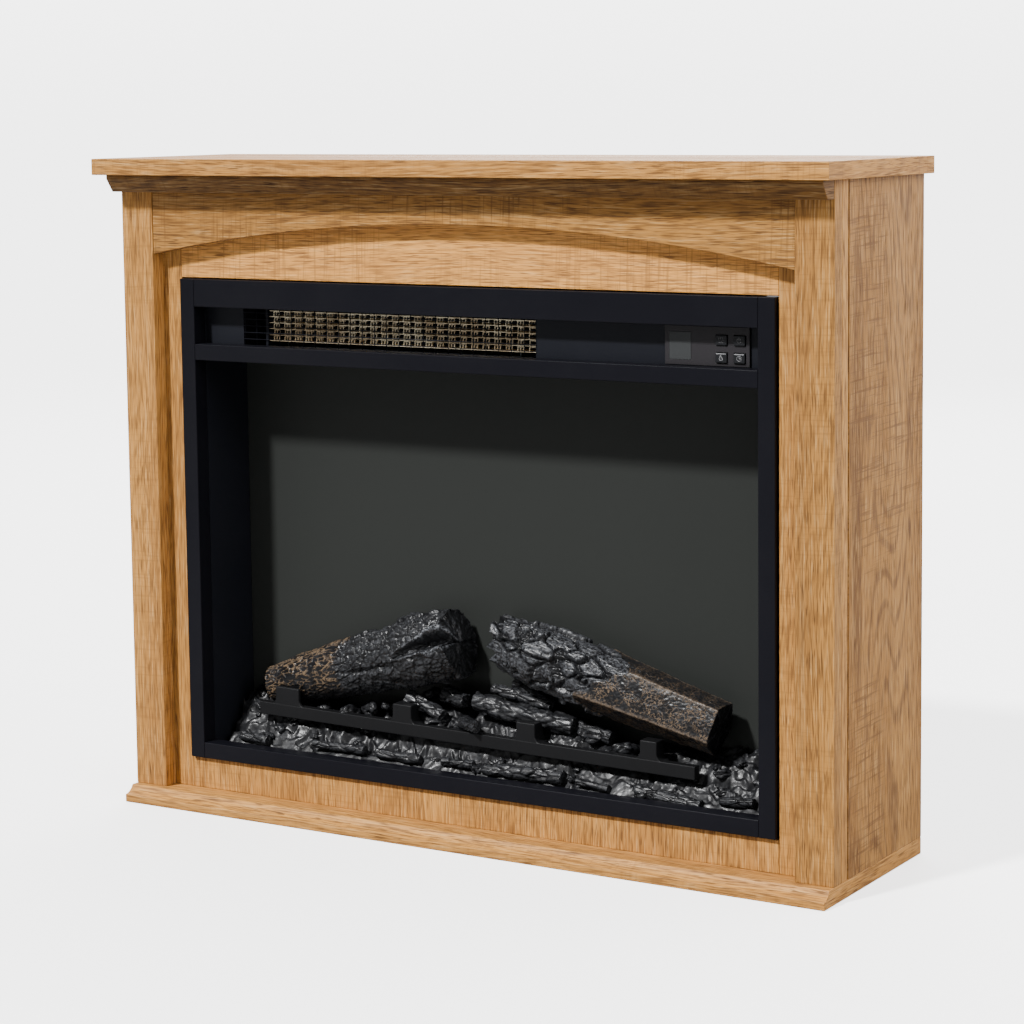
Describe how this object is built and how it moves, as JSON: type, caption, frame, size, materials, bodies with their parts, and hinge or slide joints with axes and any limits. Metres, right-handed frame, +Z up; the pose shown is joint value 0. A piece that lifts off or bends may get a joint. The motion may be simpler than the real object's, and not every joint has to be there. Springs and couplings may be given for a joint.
{
  "type": "electric fireplace",
  "caption": "Free-standing electric fireplace: arched oak-look mantel around a black steel heater insert with fire recess, log set, heater slot and push-button panel.",
  "frame": {"origin": "centre of the footprint box on the floor, under the base board", "axes": "+Z up, +X to the viewer's right across the mantel, +Y from the front towards the wall, so the fire faces -Y"},
  "size_m": [0.8, 0.225, 0.65],
  "materials": {
    "oak_laminate": "printed oak laminate, satin, lightly textured",
    "raw_board": "oak laminate on chipboard, matt",
    "beech": "plain beech, matt",
    "satin_black": "satin black powder coat",
    "casing_black": "matt black paint on folded sheet",
    "galvanised_sheet": "galvanised sheet",
    "zinc_steel": "zinc-plated steel",
    "element_aluminium": "pressed fins, slightly heat-tinted",
    "wheel_plastic": "dark moulded plastic",
    "motor_grey": "grey paint over laminations",
    "bush_brass": "sintered bush",
    "panel_plastic": "dark grey, half gloss",
    "display_smoke": "smoked clear plastic",
    "button_plastic": "dark grey caps with pale printed signs",
    "circuit_board": "green solder mask",
    "screen_smoke": "smooth grey-green diffusing screen",
    "rotor_foil": "bright foil vanes",
    "ember_resin": "glossy black moulded coals",
    "log_resin": "glossy black bark with brushed gold patches",
    "grate_plastic": "matt charcoal moulding",
    "inlet_plastic": "black moulded bush"
  },
  "bodies": {
    "cabinet": {"mantel_shelf": "oak_laminate", "crown_moulding": "oak_laminate", "side_panel_left": "oak_laminate", "side_panel_right": "oak_laminate", "stile_left": "oak_laminate", "stile_right": "oak_laminate", "arch_rail": "oak_laminate", "face_strip_left": "oak_laminate", "face_strip_right": "oak_laminate", "face_board_top": "oak_laminate", "face_board_bottom": "oak_laminate", "base_board": "oak_laminate", "back_rail_top": "raw_board", "back_rail_bottom": "raw_board", "corner_cleats": "raw_board", "dowels": "beech", "cam_locks": "zinc_steel", "trim_left": "satin_black", "trim_right": "satin_black", "trim_top": "satin_black", "trim_middle": "satin_black", "trim_bottom": "satin_black", "casing_left": "casing_black", "casing_right": "casing_black", "casing_top": "casing_black", "casing_bottom": "casing_black", "rear_cover": "galvanised_sheet", "mounting_screws": "zinc_steel", "cover_screws": "zinc_steel", "duct_plate": "casing_black", "fascia_plate": "casing_black", "outlet_grille": "casing_black", "heater_element": "element_aluminium", "heater_brackets": "galvanised_sheet", "thermal_cutout": "zinc_steel", "blower_housing": "galvanised_sheet", "blower_motor": "motor_grey", "blower_bush": "bush_brass", "control_panel": "panel_plastic", "display_window": "display_smoke", "control_board": "circuit_board", "power_board": "circuit_board", "flame_screen": "screen_smoke", "rotor_motor": "motor_grey", "rotor_bush": "bush_brass", "led_strip": "circuit_board", "reflector_plate": "galvanised_sheet", "ember_bed": "ember_resin", "log_left": "log_resin", "log_right": "log_resin", "grate": "grate_plastic", "cord_inlet": "inlet_plastic"},
    "blower_wheel": {"blower_wheel": "wheel_plastic"},
    "flame_rotor": {"flame_rotor": "rotor_foil"},
    "button_power": {"button_power": "button_plastic"},
    "button_heat": {"button_heat": "button_plastic"},
    "button_flame": {"button_flame": "button_plastic"},
    "button_timer": {"button_timer": "button_plastic"}
  },
  "joints": [
    {"name": "blower_spin", "type": "hinge", "parent": "cabinet", "child": "blower_wheel", "pos_m": [0, 0.0225, 0.4909], "axis": [1, 0, 0], "continuous": true},
    {"name": "flame_spin", "type": "hinge", "parent": "cabinet", "child": "flame_rotor", "pos_m": [0, 0.0405, 0.0922], "axis": [1, 0, 0], "continuous": true},
    {"name": "press_power", "type": "slide", "parent": "cabinet", "child": "button_power", "axis": [0, 1, 0], "range_m": [0, 0.001], "stiffness_N_per_m": 300},
    {"name": "press_heat", "type": "slide", "parent": "cabinet", "child": "button_heat", "axis": [0, 1, 0], "range_m": [0, 0.001], "stiffness_N_per_m": 300},
    {"name": "press_flame", "type": "slide", "parent": "cabinet", "child": "button_flame", "axis": [0, 1, 0], "range_m": [0, 0.001], "stiffness_N_per_m": 300},
    {"name": "press_timer", "type": "slide", "parent": "cabinet", "child": "button_timer", "axis": [0, 1, 0], "range_m": [0, 0.001], "stiffness_N_per_m": 300}
  ]
}
